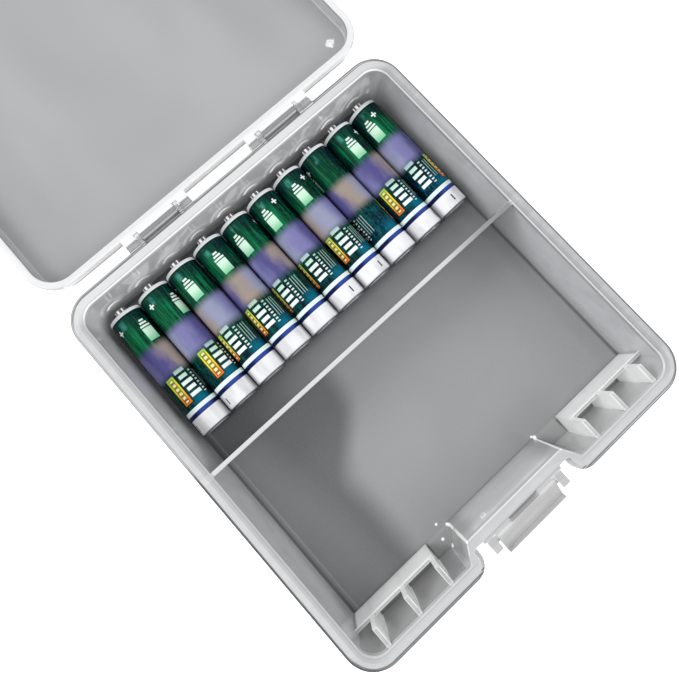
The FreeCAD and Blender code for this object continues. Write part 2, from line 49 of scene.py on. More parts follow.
# ------------------------------------------------------------------ node helpers
class Web:
    """Small helper that writes shader node trees as expressions."""

    def __init__(self, tree):
        self.tree = tree
        self.nodes = tree.nodes
        self.links = tree.links

    def put(self, socket, v):
        if isinstance(v, bpy.types.NodeSocket):
            self.links.new(v, socket)
        else:
            if socket.type in ("RGBA",) and len(v) == 3:
                v = (*v, 1.0)
            socket.default_value = v

    def math(self, op, a, b=None, c=None, clamp=False):
        n = self.nodes.new("ShaderNodeMath")
        n.operation = op
        n.use_clamp = clamp
        self.put(n.inputs[0], a)
        if b is not None:
            self.put(n.inputs[1], b)
        if c is not None:
            self.put(n.inputs[2], c)
        return n.outputs[0]

    def add(self, a, b): return self.math("ADD", a, b)
    def sub(self, a, b): return self.math("SUBTRACT", a, b)
    def mul(self, a, b): return self.math("MULTIPLY", a, b)
    def div(self, a, b): return self.math("DIVIDE", a, b)
    def absolute(self, a): return self.math("ABSOLUTE", a)
    def low(self, a, b): return self.math("MINIMUM", a, b)
    def high(self, a, b): return self.math("MAXIMUM", a, b)

    def step(self, v, lo, hi, a=0.0, b=1.0):
        """Smooth step of v from lo to hi, onto a to b."""
        n = self.nodes.new("ShaderNodeMapRange")
        n.interpolation_type = "SMOOTHSTEP"
        self.put(n.inputs["Value"], v)
        self.put(n.inputs["From Min"], lo)
        self.put(n.inputs["From Max"], hi)
        self.put(n.inputs["To Min"], a)
        self.put(n.inputs["To Max"], b)
        return n.outputs["Result"]

    def ramp_lin(self, v, lo, hi, a=0.0, b=1.0):
        n = self.nodes.new("ShaderNodeMapRange")
        n.interpolation_type = "LINEAR"
        n.clamp = True
        self.put(n.inputs["Value"], v)
        self.put(n.inputs["From Min"], lo)
        self.put(n.inputs["From Max"], hi)
        self.put(n.inputs["To Min"], a)
        self.put(n.inputs["To Max"], b)
        return n.outputs["Result"]

    def span(self, v, mid, half, soft):
        """1 where v is within half of mid, with soft edges."""
        d = self.absolute(self.sub(v, mid))
        lo = self.sub(half, soft) if isinstance(half, bpy.types.NodeSocket) else half - soft
        hi = self.add(half, soft) if isinstance(half, bpy.types.NodeSocket) else half + soft
        return self.step(d, lo, hi, 1.0, 0.0)

    def mix(self, fac, a, b, mode="MIX"):
        n = self.nodes.new("ShaderNodeMix")
        n.data_type = "RGBA"
        n.blend_type = mode
        n.clamp_factor = True
        self.put(n.inputs[0], fac)
        self.put(n.inputs[6], a)
        self.put(n.inputs[7], b)
        return n.outputs[2]

    def mixf(self, fac, a, b):
        n = self.nodes.new("ShaderNodeMix")
        n.data_type = "FLOAT"
        self.put(n.inputs[0], fac)
        self.put(n.inputs[2], a)
        self.put(n.inputs[3], b)
        return n.outputs[0]

    def noise(self, vec, scale, detail=2.0, rough=0.5, distortion=0.0, colour=False):
        n = self.nodes.new("ShaderNodeTexNoise")
        self.put(n.inputs["Vector"], vec)
        n.inputs["Scale"].default_value = scale
        n.inputs["Detail"].default_value = detail
        n.inputs["Roughness"].default_value = rough
        n.inputs["Distortion"].default_value = distortion
        return n.outputs["Color" if colour else "Fac"]

    def object_mm(self):
        """Object coordinates in millimetres: vector, x, y, z."""
        t = self.nodes.new("ShaderNodeTexCoord")
        v = self.nodes.new("ShaderNodeVectorMath")
        v.operation = "SCALE"
        self.links.new(t.outputs["Object"], v.inputs[0])
        v.inputs["Scale"].default_value = 1000.0
        s = self.nodes.new("ShaderNodeSeparateXYZ")
        self.links.new(v.outputs[0], s.inputs[0])
        return v.outputs[0], s.outputs[0], s.outputs[1], s.outputs[2]

    def normal(self):
        """The surface's own normal in object axes: x, y, z."""
        t = self.nodes.new("ShaderNodeTexCoord")
        s = self.nodes.new("ShaderNodeSeparateXYZ")
        self.links.new(t.outputs["Normal"], s.inputs[0])
        return s.outputs[0], s.outputs[1], s.outputs[2]

    def stretch(self, vec, sx, sy, sz, ox=0.0, oy=0.0, oz=0.0):
        n = self.nodes.new("ShaderNodeMapping")
        self.links.new(vec, n.inputs["Vector"])
        n.inputs["Scale"].default_value = (sx, sy, sz)
        n.inputs["Location"].default_value = (ox, oy, oz)
        return n.outputs[0]

    def bump(self, height, strength, distance, normal=None):
        n = self.nodes.new("ShaderNodeBump")
        n.inputs["Strength"].default_value = strength
        n.inputs["Distance"].default_value = distance
        self.put(n.inputs["Height"], height)
        if normal is not None:
            self.links.new(normal, n.inputs["Normal"])
        return n.outputs[0]


def new_material(name):
    mat = bpy.data.materials.new(name)
    mat.use_nodes = True
    web = Web(mat.node_tree)
    shader = next(n for n in web.nodes if n.type == "BSDF_PRINCIPLED")
    return mat, web, shader


# ------------------------------------------------------------------ plastic
def grey(v, warm=0.0):
    """Linear grey from a display value of 0 to 255, with a slight warm or cool lean."""
    c = v / 255.0
    lin = c / 12.92 if c <= 0.04045 else ((c + 0.055) / 1.055) ** 2.4
    return (min(1, lin * (1 + warm)), lin, min(1, lin * (1 - warm)))


def plastic_finish(w, sh, p, wavy=0.30, rough=0.06):
    """Slow swirls, fine frosting and roughness shared by the moulded parts."""
    swell = w.noise(p, 0.055, 1.5, 0.45)
    frost = w.noise(p, 2.6, 3.0, 0.6)
    flow = w.noise(w.stretch(p, 0.25, 1.0, 1.0), 0.35, 2.0, 0.5, 0.6)
    curl = w.noise(p, 0.10, 1.5, 0.45, 0.6)
    w.put(sh.inputs["Roughness"], w.add(w.add(w.mul(frost, 0.05), w.mul(flow, 0.05)), rough))
    n1 = w.bump(swell, wavy, 0.0030)
    n2 = w.bump(curl, 0.08, 0.0010, n1)
    n3 = w.bump(frost, 0.04, 0.0001, n2)
    w.put(sh.inputs["Normal"], n3)
    return swell, frost, flow, curl


def inset(w, x, y, hx, hy, r):
    """Distance inward from the edge of a rounded rectangle."""
    qx = w.sub(w.absolute(x), hx - r)
    qy = w.sub(w.absolute(y), hy - r)
    px, py = w.high(qx, 0.0), w.high(qy, 0.0)
    d = w.math("SQRT", w.add(w.mul(px, px), w.mul(py, py)))
    d = w.sub(w.add(d, w.low(w.high(qx, qy), 0.0)), r)
    return w.mul(d, -1.0)


def band(w, v, lo, hi, soft=0.05):
    return w.mul(w.step(v, lo - soft, lo + soft), w.step(v, hi + soft, hi - soft))


# display greys of the tray's regions; the floor, rim, ledge, line and hinge greys hold painted light and shade
FLOOR_L, FLOOR_M, FLOOR_R, REAR_L, REAR_R = 108, 160, 156, 100, 162
WALL_A, WALL_B = 222, 213
RIM_M, RIM_L, RIM_R, RIM_F, RIM_B, RIM_BR = 208, 208, 198, 212, 234, 220
LEDGE_L, LEDGE_R, SHADE_LINE = 216, 236, 84
HINGE, EAR = 190, 186
CLEAR = 0.24
GLINTS = [(-21.0, -52.1, 1.5, 0.50), (-18.6, -54.2, 2.4, 0.85), (-22.4, -56.4, 1.5, 0.60),
          (-21.3, -59.3, 2.6, 0.80), (18.3, -54.0, 2.4, 0.95), (17.7, -53.3, 1.5, 0.45),
          (-20.9, -58.6, 17.0, 0.50), (20.4, -59.0, 19.0, 0.45)]


def tray_material():
    mat, w, sh = new_material("frosted_plastic_tray")
    p, x, y, z = w.object_mm()
    nx, ny, nz = w.normal()
    ax = w.absolute(x)
    up = w.step(nz, 0.60, 0.92)
    swell, frost, flow, curl = plastic_finish(w, sh, p)
    shade_cloud = w.noise(w.stretch(p, 0.8, 1.0, 1.0, 3.1, 7.7, 0.0), 0.030, 2.0, 0.5, 0.4)

    # floor: painted shade, darker at the left and in the rear compartment, lighter at the right, parted by a soft
    # slanting edge
    edge = w.add(w.step(y, -27.0, -5.0, -31.0, -15.0), w.mul(w.sub(shade_cloud, 0.5), 8.0))
    across = w.sub(x, edge)
    front = w.mix(w.step(across, -5.0, 5.5), grey(FLOOR_L), grey(FLOOR_M))
    front = w.mix(w.step(x, -10.0, 48.0), front, grey(FLOOR_R))
    front = w.mix(w.step(w.add(x, w.mul(y, 0.10)), -38.0, -50.0), front, grey(FLOOR_L + 24))
    front = w.mix(w.mul(w.step(shade_cloud, 0.50, 0.72), 0.10), front, grey(120))
    rear = w.mix(w.step(x, -44.0, -8.0), grey(REAR_L), grey(REAR_R))
    rear = w.mix(w.step(y, 9.0, 15.0), rear, grey(100))
    floor = w.mix(w.step(y, 2.6, 3.2), front, rear)
    floor = w.mix(w.step(frost, 0.45, 0.75, 0.0, 0.05), floor, grey(230))
    # painted shade where the floor meets the walls, with a faint painted highlight line just inside it
    room = inset(w, x, y, 55.05, 58.75, 4.0)
    corner_shade = w.step(room, 0.75, 0.15)
    floor = w.mix(w.mul(corner_shade, 0.60), floor, grey(64))
    floor = w.mix(w.mul(band(w, room, 1.25, 1.85, 0.25), w.step(x, 0.0, -40.0, 0.04, 0.22)), floor,
                  grey(200))
    # painted shade along the floor at the foot of the boss
    foot_shade = w.mul(w.step(y, -53.35, -53.85), w.step(ax, 18.6, 18.2))
    floor = w.mix(w.mul(foot_shade, 0.55), floor, grey(70))
    is_floor = w.low(w.step(z, 2.4, 1.7), up)

    # inner walls: pale and milky, with painted light on the left wall, painted shade at the right rear, and painted
    # shade deepening towards the floor
    wall = w.mix(w.step(curl, 0.35, 0.65), grey(WALL_A, -0.018), grey(WALL_B, -0.018))
    left_wall = w.mul(w.step(x, -52.0, -54.0), w.step(y, 2.0, -4.0))
    wall = w.mix(w.mul(left_wall, 0.15), wall, grey(235))
    left_rear = w.mul(w.step(x, -52.0, -54.0), w.mul(w.step(y, 2.0, 8.0), w.step(z, 7.0, 13.0)))
    wall = w.mix(w.mul(left_rear, 0.5), wall, grey(246))
    right_rear = w.mul(w.step(x, 52.0, 54.0), w.step(y, 38.0, 52.0))
    wall = w.mix(w.mul(right_rear, 0.40), wall, grey(140))
    back_wall = w.step(y, 56.5, 58.0)
    wall = w.mix(w.mul(back_wall, 0.8), wall, grey(224))
    # the boss in front narrows towards its inner end; lean is measured off its slanting side
    lean = w.sub(w.add(ax, w.mul(w.add(y, 54.87), 0.606)), 17.82)
    boss_wall = w.mul(w.step(lean, 1.35, 1.15), w.step(y, -52.0, -53.5))
    # boss face: painted light, paler in its middle, with a faint painted dark bar and bright bar across it
    boss = w.mix(w.step(w.add(ax, w.mul(w.sub(curl, 0.5), 6.0)), 11.0, 17.0), grey(228), grey(196))
    boss = w.mix(w.mul(band(w, z, 15.5, 15.9, 0.15), w.mul(w.span(x, 3.0, 9.5, 2.0), 0.35)), boss,
                 grey(170))
    boss = w.mix(w.mul(band(w, z, 17.2, 17.7, 0.15), w.mul(w.span(x, 3.0, 11.0, 2.0), 0.55)), boss,
                 grey(255))
    # a small square ring on the boss face: painted shade inside it and a painted highlight round its edge
    ring_d = w.high(w.absolute(w.add(x, 9.6)), w.absolute(w.sub(z, 15.4)))
    ring_highlight = w.mul(band(w, ring_d, 0.50, 0.92, 0.06), w.step(y, -54.0, -54.2))
    boss = w.mix(w.mul(w.step(ring_d, 0.55, 0.45), 0.5), boss, grey(160))
    boss = w.mix(w.mul(ring_highlight, 0.8), boss, grey(255))
    # painted light brightening the upper part of the boss wall
    wall = w.mix(boss_wall, wall, w.mix(w.step(z, 12.0, 17.5, 0.0, 0.40), boss, grey(255)))
    # pocket walls: painted shade, darker on the left
    pocket_wall = w.mul(w.step(lean, 1.35, 1.60), w.step(y, -55.0, -56.0))
    wall = w.mix(pocket_wall, wall, w.mix(w.step(x, -1.0, 1.0), grey(180), grey(210)))
    # painted shade on the walls, deepening towards the floor
    wall = w.mix(w.mul(w.step(z, 6.0, 1.5), 0.20), wall, grey(150))
    wall = w.mix(w.mul(w.step(z, 2.2, 1.5), 0.45), wall, grey(90))
    # each cell's nub glints off the wall behind it
    turns = w.add(w.div(w.add(x, 0.7), 10.71), 200.0)
    side = w.mul(w.sub(w.math("FRACT", turns), 0.5), 10.71)
    t = w.absolute(side)
    zz = w.sub(z, 6.85)
    r = w.math("SQRT", w.add(w.mul(t, t), w.mul(zz, zz)))
    swirl = w.noise(w.stretch(p, 1.0, 1.0, 0.7, 2.0, 0, 0), 0.16, 1.0, 0.4, 1.2)
    fade = w.mul(w.step(side, 2.8, -0.4, 0.35, 1.0), w.step(swirl, 0.36, 0.56, 0.60, 1.0))
    glint = w.mul(w.span(r, 2.5, 0.50, 0.35), fade)
    glint = w.high(glint, w.mul(w.span(r, 5.2, 0.5, 0.9), w.mul(fade, 0.45)))
    glint = w.mul(w.high(glint, w.mul(w.step(swirl, 0.48, 0.66), 0.22)), w.step(z, 18.0, 17.0))
    glint = w.mul(w.mul(glint, w.step(zz, 0.2, 0.9)), w.step(ax, 54.0, 53.0))
    glint = w.mul(glint, w.mul(back_wall, w.step(flow, 0.30, 0.50, 0.65, 1.0)))
    wall = w.mix(glint, wall, grey(255))
    outer = w.mix(w.step(flow, 0.35, 0.7), grey(200), grey(190))
    outside = w.high(w.step(ax, 56.9, 57.1), w.high(w.step(y, 60.6, 60.8),
                                                    w.step(y, -60.4, -60.8)))
    edge = inset(w, x, y, 57.3, 61.05, 7.35)
    outward = w.step(w.add(w.mul(nx, x), w.mul(ny, y)), 20.0, 30.0)
    outside = w.high(outside, w.mul(w.mul(outward, w.step(edge, 1.1, 0.8)), w.step(z, 18.2, 17.9)))
    mouth = w.low(w.step(lean, -0.8, -1.2), w.step(y, -55.3, -55.5))
    outside = w.high(outside, mouth)
    # painted shade in a band under the ledge on the outer walls
    outer = w.mix(w.mul(band(w, z, 13.5, 17.3, 0.3), 0.35), outer, grey(150))
    # painted shade in a crescent on the outer wall below the ledge beside the recess
    crescent_shade = w.mul(w.mul(w.step(ax, 14.2, 15.2), w.step(y, -61.45, -60.9)),
                     w.mul(w.step(y, -55.5, -56.0), w.step(z, 17.7, 17.4)))
    outer = w.mix(crescent_shade, outer, grey(116))
    body = w.mix(outside, wall, outer)
    col = w.mix(is_floor, body, floor)

    # pocket plates, ribs and the floor between them; the upright faces of the plates and ribs are painted paler than
    # their tops as painted light
    in_pocket = w.low(w.step(y, -53.2, -53.5), w.step(z, 1.9, 2.3))
    rib = None
    for at in (27.83, 38.93, 50.12):
        g = w.span(ax, at, 0.78, 0.06)
        rib = g if rib is None else w.high(rib, g)
    rib = w.mul(rib, w.step(y, -59.95, -59.80))
    plate = w.mul(w.step(y, -55.2, -55.1), w.step(ax, 26.9, 27.1))
    inside_ribs = w.mul(w.mul(in_pocket, w.high(rib, plate)), w.step(ax, 55.2, 54.9))
    sheet = w.mix(w.step(curl, 0.35, 0.65), grey(238), grey(230))
    sheet = w.mix(up, sheet, grey(208))
    col = w.mix(inside_ribs, col, sheet)
    # painted shade on the pocket floors, darkest towards the front wall
    pocket_floor = w.low(is_floor, w.step(y, -54.6, -54.9))
    col = w.mix(pocket_floor, col, w.mix(w.high(w.step(y, -55.4, -58.8), w.mul(w.step(ax, 27.0, 26.4), 1.0)), grey(108),
                                   w.mix(w.step(x, 0.0, 20.0), grey(140), grey(152))))
    # painted light on the floor of the passage in front of the boss
    passage = w.mul(w.mul(is_floor, w.step(y, -53.6, -54.2)), w.mul(w.step(ax, 26.9, 26.5),
                                                                   w.step(y, -59.8, -58.5)))
    col = w.mix(w.mul(passage, 0.8), col, grey(172))

    # bands along the rim, counted inward from the edge of the ledge; the rim and ledge greys change by side and the
    # rim's inner half darkens at the sides, as painted light and shade
    e_out = inset(w, x, y, 60.6, 64.35, 9.2)
    notch = inset(w, x, w.add(y, 69.95), 17.0, 11.0, 4.8)
    e = w.low(e_out, w.mul(notch, -1.0))
    top = w.step(z, 18.3, 18.55)
    left = w.step(x, -50.0, -57.0)
    right_ = w.step(x, 50.0, 57.0)
    back = w.step(y, 56.0, 61.0)
    frontal = w.step(y, -54.0, -58.0)
    rimcol = grey(RIM_M)
    rimcol = w.mix(left, rimcol, grey(RIM_L + 8))
    rimcol = w.mix(right_, rimcol, grey(RIM_R - 7))
    rimcol = w.mix(frontal, rimcol, grey(RIM_F))
    rimcol = w.mix(back, rimcol, w.mix(w.step(x, 20.0, 50.0), grey(RIM_B), grey(RIM_BR)))
    rimcol = w.mix(w.mul(w.step(flow, 0.30, 0.75), 0.18), rimcol, grey(252))
    inner_half = w.mul(w.step(e, 2.45, 2.75), w.mixf(w.high(left, right_), 0.06, 0.30))
    rimcol = w.mix(w.mul(inner_half, w.sub(1.0, back)), rimcol, grey(140))
    ledge = w.mix(w.step(x, 0.0, 50.0), grey(LEDGE_L), grey(LEDGE_R))
    lines = w.mix(w.step(e, 0.95, 1.15), w.mix(w.mul(right_, 0.5), ledge, grey(250)), rimcol)
    # painted shade lines: a double dark line on the back and front, a dark outline on the left, a fine one at the right
    far = w.step(x, 15.0, 40.0)
    shift_b = w.sub(e, w.mul(far, -0.36))
    dark = w.mul(band(w, shift_b, 0.42, 0.86, 0.10), w.mul(back, 0.72))
    shift_f = w.sub(e, w.mul(far, 0.18))
    dark = w.high(dark, w.mul(band(w, shift_f, 0.40, 0.80, 0.10), w.mul(frontal, 0.85)))
    dark = w.high(dark, w.mul(band(w, e, 1.10, 1.40, 0.06), w.mul(w.high(back, frontal), 0.82)))
    dark = w.high(dark, w.mul(band(w, e, 0.92, 1.16), 0.25))
    low_left = w.mul(left, w.step(y, 12.0, 2.0, 0.12, 1.0))
    dark = w.high(dark, w.mul(w.step(e, 0.66, 0.54), w.mul(low_left, 0.92)))
    dark = w.high(dark, w.mul(w.step(e, 0.16, 0.06), 0.80))
    dark = w.high(dark, w.mul(w.step(e, 0.34, 0.22), w.mul(w.high(right_, frontal), 0.80)))
    dark = w.high(dark, w.mul(w.step(e, 0.56, 0.44), w.mul(right_, 0.80)))
    dark = w.high(dark, w.mul(band(w, e_out, 3.42, 3.68), 0.18))
    by_recess = w.step(w.sub(e_out, e), 0.3, 0.7)
    dark = w.mul(dark, w.sub(1.0, w.mul(by_recess, 0.9)))
    lines = w.mix(dark, lines, grey(SHADE_LINE))
    shell_top = w.low(w.low(top, w.step(e, 5.2, 5.0)), w.step(e, -0.25, -0.15))
    arris = w.mul(w.mul(w.step(nz, 0.20, 0.40), w.step(nz, 0.998, 0.96)),
                  w.mul(w.step(z, 19.45, 19.6), w.step(e, 2.0, 2.2)))
    col = w.mix(shell_top, col, lines)
    # painted highlight along the rim's inner arris, brightest at the back
    arris_highlight = w.mix(left, grey(214), grey(204))
    arris_highlight = w.mix(right_, arris_highlight, grey(228))
    arris_highlight = w.mix(back, arris_highlight, grey(255))
    recess = w.mul(w.step(e_out, 6.2, 6.6), w.step(y, -50.0, -52.0))
    arris_highlight = w.mix(recess, arris_highlight, grey(224))
    col = w.mix(w.mul(arris, w.step(e, 5.2, 5.0)), col, arris_highlight)
    # latch block and lugs in the mouth of the recess
    block = w.low(w.step(y, -58.2, -58.5), w.low(w.step(ax, 16.5, 16.0), w.step(z, 14.5, 15.0)))
    block = w.mul(block, w.step(e, 0.0, -0.15))
    col = w.mix(block, col, w.mix(flow, grey(206), grey(198)))
    # painted shade in the slit between the latch and the block
    slit = w.mul(w.mul(band(w, y, -58.62, -58.38), w.step(ax, 5.4, 5.1)), w.step(z, 16.0, 17.0))
    col = w.mix(w.mul(slit, 0.85), col, grey(66))
    # rib and plate tops with thin painted highlights along their edges; the divider top greys towards its right end
    rib_line = None
    for at in (27.83, 38.93, 50.12):
        g = w.mul(w.step(w.absolute(w.sub(ax, at)), 0.36, 0.50),
                  w.step(w.absolute(w.sub(ax, at)), 0.85, 0.75))
        rib_line = g if rib_line is None else w.high(rib_line, g)
    rib_line = w.mul(w.mul(rib_line, inside_ribs), w.mul(w.step(z, 11.8, 12.1), w.step(nz, 0.1, 0.3)))
    rib_line = w.mul(rib_line, 0.6)
    plate_line = w.mul(w.mul(band(w, z, 11.55, 12.25), w.step(nz, 0.05, 0.3)),
                       w.mul(w.step(y, -53.3, -53.5), w.step(y, -55.2, -55.0)))
    plate_edge = w.mul(plate_line, w.step(w.absolute(w.add(y, 54.3)), 0.30, 0.45))
    col = w.mix(w.high(rib_line, plate_edge), col, grey(255))
    divider = w.mul(w.span(y, 2.9, 0.95, 0.05), w.step(z, 2.0, 3.0))
    div_in = w.mul(divider, w.step(ax, 56.0, 55.8))
    col = w.mix(div_in, col, w.mix(w.step(x, 24.0, 50.0), grey(228), grey(150)))
    # small painted glints at the feet of the boss, and a painted highlight up its corner edges
    spot = None
    for sx, sy, sz, sr in GLINTS:
        a, b, c = w.sub(x, sx), w.sub(y, sy), w.mul(w.sub(z, sz), 0.6)
        d = w.math("SQRT", w.add(w.mul(a, a), w.add(w.mul(b, b), w.mul(c, c))))
        g = w.step(d, sr, sr * 0.55)
        spot = g if spot is None else w.high(spot, g)
    fall = w.div(w.sub(20.0, z), 18.5)
    ca, cb = w.sub(ax, w.add(w.mul(fall, 0.42), 17.82)), w.sub(y, w.add(w.mul(fall, 0.74), -54.87))
    near_corner = w.math("SQRT", w.add(w.mul(ca, ca), w.mul(cb, cb)))
    corner_glint = w.mul(w.step(near_corner, 0.62, 0.42), w.step(z, 1.6, 2.2))
    corner_glint = w.mul(corner_glint, w.mixf(w.step(x, -1.0, 1.0), w.step(flow, 0.35, 0.55, 0.35, 0.9), 0.9))
    spot = w.high(spot, corner_glint)
    col = w.mix(spot, col, grey(255))
    # hinge ears, cheeks and rods: painted shade makes them greyer, the ears a little deeper, with a darker painted band
    # towards the lid; the cheeks' rear halves are painted pale as painted light
    ears = w.step(y, 64.42, 64.50)
    ear = w.high(w.span(ax, 13.25, 1.85, 0.05), w.span(ax, 32.25, 2.05, 0.05))
    cheek = w.high(w.span(ax, 15.65, 0.60, 0.05), w.span(ax, 29.65, 0.60, 0.05))
    strip = w.mix(ear, grey(HINGE), grey(EAR))
    strip = w.mix(w.mul(w.step(y, 65.6, 66.1), 0.30), strip, grey(140))
    strip = w.mix(cheek, strip, w.mix(w.step(y, 65.9, 66.1), grey(200), grey(226)))
    col = w.mix(ears, col, strip)
    w.put(sh.inputs["Base Color"], col)
    clear = w.mul(w.sub(1.0, is_floor), w.add(CLEAR, w.mul(flow, 0.08)))
    clear = w.mul(clear, w.sub(1.0, w.mul(divider, 0.7)))
    clear = w.mul(clear, w.sub(1.0, w.mul(shell_top, 0.45)))
    w.put(sh.inputs["Transmission Weight"], clear)
    # painted glow: emission stands in for light travelling inside the clear plastic and leaving at thin sheets and
    # arrises, and also lifts glints and shaded gaps
    side_face = w.sub(1.0, w.step(nz, 0.3, 0.6))
    painted_glow = w.high(w.mul(w.mul(inside_ribs, side_face), 0.60), w.mul(arris, w.mixf(w.high(back, w.mul(recess, 0.4)), 0.12, 1.0)))
    painted_glow = w.high(painted_glow, w.mul(w.high(rib_line, plate_edge), 0.4))
    painted_glow = w.high(painted_glow, spot)
    painted_glow = w.high(painted_glow, w.mul(w.mul(w.mul(outside, w.sub(1.0, top)), w.sub(1.0, crescent_shade)),
                                    0.04))
    glint = w.mul(glint, w.sub(1.0, outside))
    painted_glow = w.high(painted_glow, w.mul(w.mul(cheek, ears), w.mul(w.step(y, 65.9, 66.1), w.step(nz, 0.3, 0.7, 0.0, 0.5))))
    painted_glow = w.high(painted_glow, w.mul(ring_highlight, w.mul(boss_wall, 0.5)))
    # painted glow on the shaded face of the block below the latch barrel, weaker in its middle
    gap = w.mul(w.mul(w.step(y, -58.3, -58.5), w.step(ax, 14.4, 14.0)), w.step(z, 12.0, 13.0))
    gap = w.mul(gap, w.step(nz, 0.90, 0.70))
    painted_glow = w.high(painted_glow, w.mul(gap, w.step(ax, 4.6, 5.6, 0.25, 1.0)))
    painted_glow = w.high(w.mul(painted_glow, 0.35), w.mul(glint, 0.72))
    w.put(sh.inputs["Emission Color"], w.mix(painted_glow, (0, 0, 0), (1, 1, 1)))
    sh.inputs["Emission Strength"].default_value = 0.80
    sh.inputs["IOR"].default_value = 1.49
    sh.inputs["Coat Weight"].default_value = 0.15
    sh.inputs["Coat Roughness"].default_value = 0.04
    return mat


def lid_material():
    mat, w, sh = new_material("frosted_plastic_lid")
    p, x, y, z = w.object_mm()
    nx, ny, nz = w.normal()
    up = w.step(nz, 0.60, 0.92)
    ax = w.absolute(x)
    swell, frost, flow, curl = plastic_finish(w, sh, p, 0.10, 0.26)
    # the lid floor's greys carry soft painted light and shade
    shade_cloud = w.noise(w.stretch(p, 1.0, 0.5, 1.0), 0.022, 2.0, 0.5, 0.3)
    inside = w.mix(w.step(shade_cloud, 0.30, 0.70), grey(160, -0.012), grey(176, -0.004))
    outer = w.mix(w.step(flow, 0.35, 0.7), grey(206), grey(196))
    e = inset(w, x, w.sub(y, 132.4), 60.6, 64.15, 10.0)
    hollow = w.low(w.step(e, 2.35, 2.55), w.step(z, 19.6, 19.4))
    col = w.mix(hollow, outer, inside)
    col = w.mix(w.mul(hollow, w.sub(1.0, up)), col, grey(215))
    # rim top, with painted shade lines at its outer and inner edges
    lines = w.mix(w.step(y, 72.0, 69.0), grey(240), grey(238))
    lines = w.mix(w.mul(w.step(e, 0.32, 0.18), 0.5), lines, grey(170))
    lines = w.mix(w.mul(band(w, e, 2.15, 2.5), 0.8), lines, grey(110))
    top = w.low(w.step(z, 19.2, 19.5), w.step(e, 2.7, 2.5))
    col = w.mix(top, col, lines)
    # hooks: pale behind the hinge line, painted shade in front of it, and a painted highlight along the hinge line
    knuckle = w.step(y, 66.24, 66.16)
    col = w.mix(knuckle, col, w.mix(w.mul(w.step(y, 65.3, 66.0), 0.4), grey(188), grey(158)))
    hook = w.mul(band(w, y, 66.20, 69.0), w.step(z, 17.5, 17.9))
    col = w.mix(hook, col, grey(250))
    col = w.mix(w.mul(band(w, y, 66.16, 66.50), w.step(z, 20.1, 20.3)), col, grey(255))
    w.put(sh.inputs["Base Color"], col)
    w.put(sh.inputs["Transmission Weight"], w.mul(w.sub(1.0, w.mul(hollow, up)), 0.20))
    # painted glow at the hook's edge and along the rim's inner edge
    painted_glow = w.high(w.mul(hook, w.step(y, 66.18, 66.30)), w.mul(top, w.step(e, 2.1, 1.9)))
    w.put(sh.inputs["Emission Color"], w.mix(w.mul(painted_glow, 0.5), (0, 0, 0), (1, 1, 1)))
    sh.inputs["Emission Strength"].default_value = 0.20
    sh.inputs["IOR"].default_value = 1.49
    sh.inputs["Coat Weight"].default_value = 0.20
    sh.inputs["Coat Roughness"].default_value = 0.015
    return mat


def latch_material():
    mat, w, sh = new_material("latch_plastic")
    p, x, y, z = w.object_mm()
    nx, ny, nz = w.normal()
    swell, frost, flow, curl = plastic_finish(w, sh, p, 0.08, 0.20)
    col = w.mix(w.step(flow, 0.3, 0.7), grey(193, 0.010), grey(186, 0.014))
    # painted light along the shaded barrel, with painted shade in a slit in its middle
    barrel = w.mul(w.step(y, -62.3, -60.4), w.step(w.absolute(x), 3.5, 6.5, 0.3, 1.0))
    col = w.mix(w.mul(barrel, 0.4), col, grey(206, 0.010))
    slit = w.mul(w.span(y, -59.85, 0.13, 0.06), w.step(w.absolute(x), 5.4, 5.1))
    col = w.mix(w.mul(slit, 0.6), col, grey(90))
    w.put(sh.inputs["Base Color"], col)
    w.put(sh.inputs["Transmission Weight"], w.add(w.mul(flow, 0.04), 0.10))
    # painted glow, strongest on the barrel's flank next to the block, faint over the whole latch
    w.put(sh.inputs["Emission Color"], w.mix(w.add(w.mul(w.mul(barrel, w.step(y, -60.7, -59.9)), 0.7), 0.12), (0, 0, 0), (1, 1, 1)))
    sh.inputs["Emission Strength"].default_value = 0.26
    sh.inputs["IOR"].default_value = 1.49
    return mat


# ------------------------------------------------------------------ cells
PITCH, SHIFT, CELL_Y, CELL_Z, RAD = 10.71, -0.7, 12.8, 6.85, 5.2
ALONG = [-0.65, -0.5, -0.45, -0.25, -0.3, -0.15, -0.2, -0.1, -0.15, -0.05]
# print offsets round the sleeve, in millimetres of arc from the top of the cell:
# plus, minus, pale block, strip, white bars
PRINT = [
    (-3.8, -5.4, 3.7, -1.4, 2.3), (-2.6, -4.1, 5.1, -0.2, 3.4), (9.0, 8.0, -0.9, -5.6, -2.0),
    (8.6, 7.8, 0.1, -5.2, -1.5), (6.6, 6.2, -2.8, -7.0, -3.2), (2.5, 1.8, -2.1, -6.8, -2.4),
    (3.5, 2.6, -0.7, -4.9, -1.0), (9.6, 9.2, 8.0, 6.9, 7.6), (4.6, 4.9, -0.1, -3.7, 0.2),
    (0.5, 0.6, -2.8, 4.7, -2.6)]
# the few soft tints of the pastel band, used in turn
TINTS = [(0.23, 0.22, 0.45), (0.10, 0.09, 0.27), (0.38, 0.31, 0.27), (0.33, 0.35, 0.50)]


